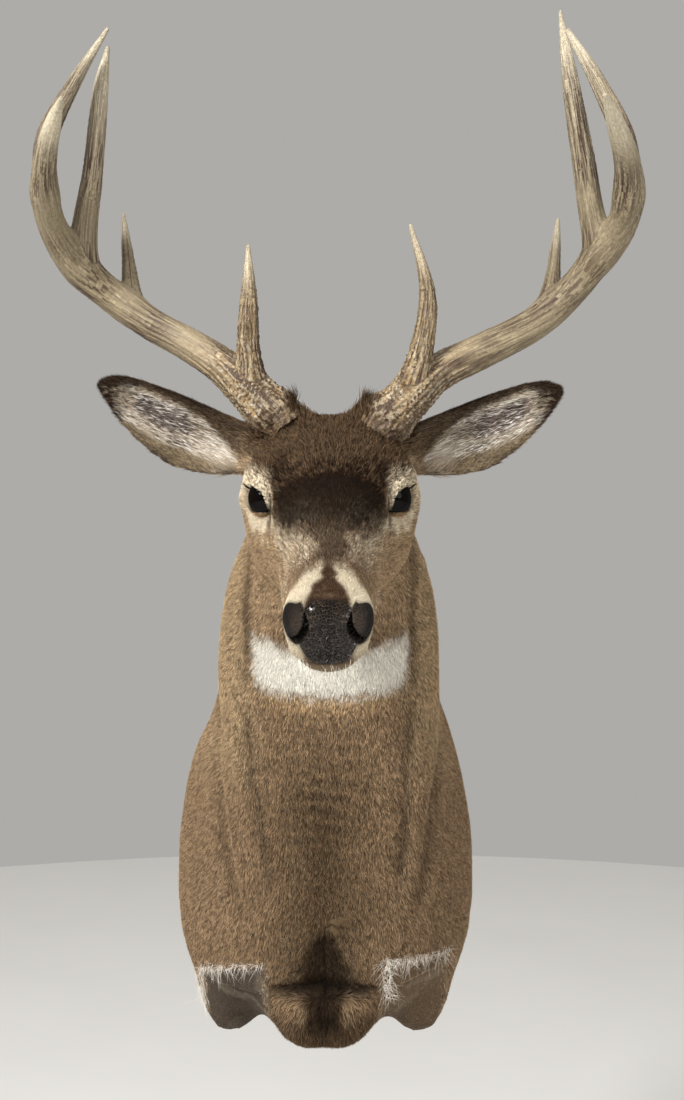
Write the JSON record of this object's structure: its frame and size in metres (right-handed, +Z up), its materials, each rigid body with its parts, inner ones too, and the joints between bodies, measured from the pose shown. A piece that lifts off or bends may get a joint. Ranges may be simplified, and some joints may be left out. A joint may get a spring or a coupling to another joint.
{
  "type": "whitetail deer shoulder mount",
  "caption": "Taxidermy shoulder mount of a whitetail buck: antlered head, neck and shoulders on a hidden wall board.",
  "frame": {"origin": "on the flat rear face of the backboard, on its centre line, below the hanger: the wall plane is Y = 0", "axes": "+Z up along the wall, +Y into the wall, +X to the buck's own left, so the buck looks out along -Y"},
  "size_m": [0.5355, 0.578, 1.0302],
  "materials": {
    "hide": "short dense grizzled brown hair on tanned hide, with pale throat and face markings",
    "nose_leather": "moist black pebbled nose leather",
    "eye_glass": "polished dark glass eye",
    "antler_bone": "matt grooved antler bone, darker and pearled at the base",
    "plywood": "raw plywood",
    "zinc_steel": "zinc plated"
  },
  "bodies": {
    "root": {"antler_left_beam_base": "antler_bone", "antler_left_beam_middle": "antler_bone", "antler_left_beam_tip": "antler_bone", "antler_left_brow_tine": "antler_bone", "antler_left_inner_tine": "antler_bone", "antler_left_rear_tine": "antler_bone", "antler_left_short_tine": "antler_bone", "antler_right_beam_base": "antler_bone", "antler_right_beam_middle": "antler_bone", "antler_right_beam_tip": "antler_bone", "antler_right_brow_tine": "antler_bone", "antler_right_inner_tine": "antler_bone", "antler_right_rear_tine": "antler_bone", "antler_right_short_tine": "antler_bone", "backboard": "plywood", "brisket": "hide", "chest": "hide", "ear_left": "hide", "ear_right": "hide", "eye_left": "eye_glass", "eye_right": "eye_glass", "hanger_plate": "zinc_steel", "hanger_screw_lower": "zinc_steel", "hanger_screw_upper": "zinc_steel", "head": "hide", "leg_stump_left": "hide", "leg_stump_right": "hide", "lower_jaw": "hide", "neck_lower": "hide", "neck_upper": "hide", "nose_pad": "nose_leather", "shoulder_left": "hide", "shoulder_right": "hide"}
  },
  "joints": []
}
